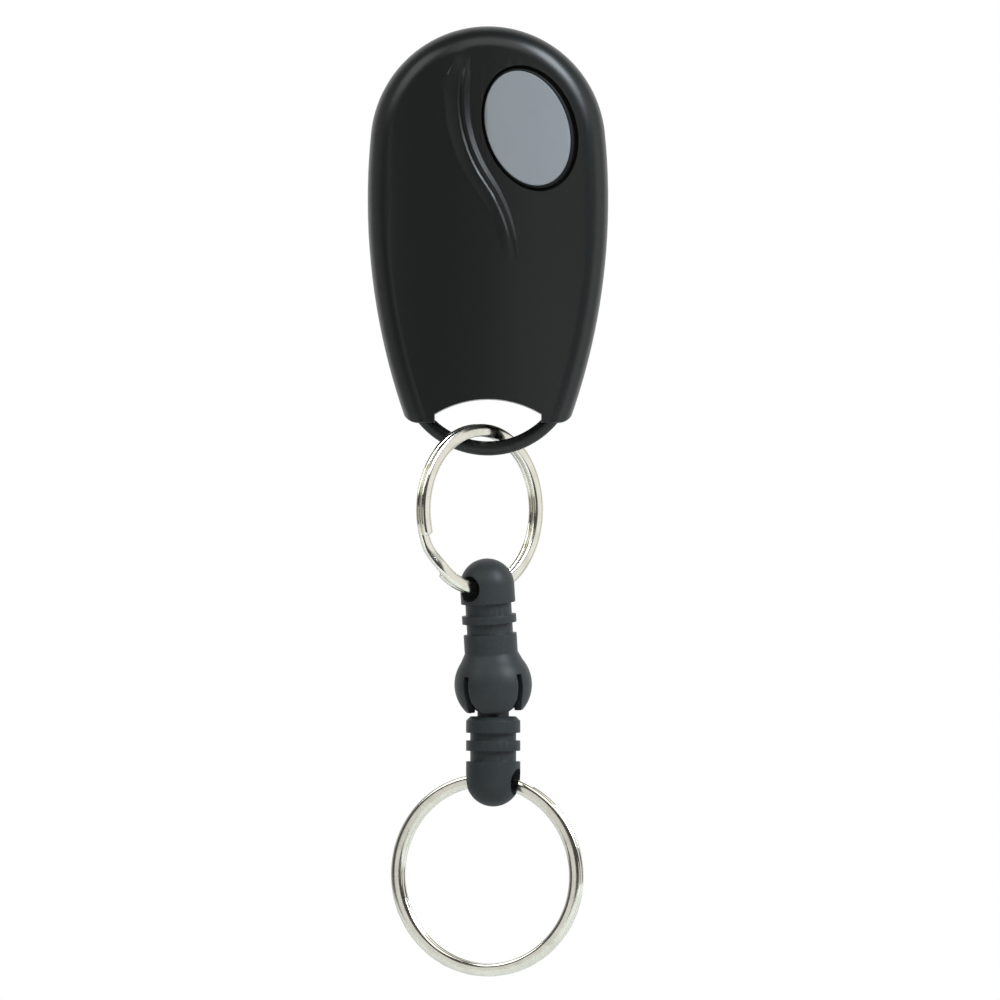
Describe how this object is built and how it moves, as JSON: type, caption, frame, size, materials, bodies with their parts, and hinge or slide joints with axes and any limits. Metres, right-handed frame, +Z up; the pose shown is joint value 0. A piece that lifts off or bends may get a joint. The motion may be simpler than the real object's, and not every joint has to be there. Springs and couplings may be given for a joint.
{
  "type": "key fob transmitter",
  "caption": "Egg-shaped key fob transmitter with an oval push button, linked by a small split ring and a snap-apart swivel connector to a large key ring.",
  "frame": {"origin": "on the flat rear face of the fob, at the height of its widest line", "axes": "+X to the right seen from the front, +Y out of the flat rear face, +Z up along the chain towards the fob"},
  "size_m": [0.0334, 0.018, 0.1318],
  "materials": {
    "shell": "fine satin moulding",
    "button": "satin",
    "zinc_steel": "zinc plated",
    "board": "solder mask",
    "copper": "plated copper",
    "switch_plastic": "moulded",
    "plunger_plastic": "moulded",
    "tinned_steel": "tinned",
    "cell_steel": "nickel plated",
    "chip_plastic": "moulded epoxy",
    "chip_ceramic": "fired ceramic",
    "nickel": "bright nickel plate",
    "socket_plastic": "satin moulding",
    "ball_plastic": "satin moulding"
  },
  "bodies": {
    "fob": {"front_shell": "shell", "rear_shell": "shell", "case_screw": "zinc_steel", "circuit_board": "board", "loop_antenna": "copper", "switch_base": "switch_plastic", "switch_cover": "tinned_steel", "switch_terminals": "tinned_steel", "switch_dome": "tinned_steel", "coin_cell": "cell_steel", "battery_positive_clip": "tinned_steel", "battery_negative_contact": "tinned_steel", "encoder_chip": "chip_plastic", "encoder_pins": "tinned_steel", "rf_transistor": "chip_plastic", "saw_resonator": "cell_steel", "chip_resistors": "chip_plastic", "chip_capacitors": "chip_ceramic", "chip_inductor": "chip_ceramic"},
    "button": {"button_cap": "shell", "button_face": "button"},
    "plunger": {"switch_plunger": "plunger_plastic"},
    "small_ring": {"small_split_ring": "nickel"},
    "connector_socket": {"swivel_socket": "socket_plastic"},
    "connector_ball": {"swivel_ball": "ball_plastic"},
    "large_ring": {"large_split_ring": "nickel"}
  },
  "joints": [
    {"name": "button_slide", "type": "slide", "parent": "fob", "child": "button", "axis": [0, 1, 0], "range_m": [0, 0.00025], "stiffness_N_per_m": 4000},
    {"name": "plunger_slide", "type": "slide", "parent": "fob", "child": "plunger", "axis": [0, 1, 0], "range_m": [0, 0.00025]},
    {"name": "small_ring_swing", "type": "hinge", "parent": "fob", "child": "small_ring", "pos_m": [0, -0.0055, -0.0345], "axis": [1, 0, 0], "range_deg": [-31, 70]},
    {"name": "connector_swing", "type": "hinge", "parent": "small_ring", "child": "connector_socket", "pos_m": [-0.0001, -0.00572, -0.05375], "axis": [-0.7045, -0.7045, -0.0854], "range_deg": [-100, 100]},
    {"name": "ball_spin", "type": "hinge", "parent": "connector_socket", "child": "connector_ball", "pos_m": [0.00072, -0.0049, -0.0673], "axis": [0, 0, 1], "continuous": true},
    {"name": "large_ring_swing", "type": "hinge", "parent": "connector_ball", "child": "large_ring", "pos_m": [0.00072, -0.0049, -0.0808], "axis": [0.9397, -0.342, 0], "range_deg": [-120, 120]}
  ],
  "couplings": [
    {"joint": "plunger_slide", "follows": "button_slide", "ratio": 1}
  ]
}
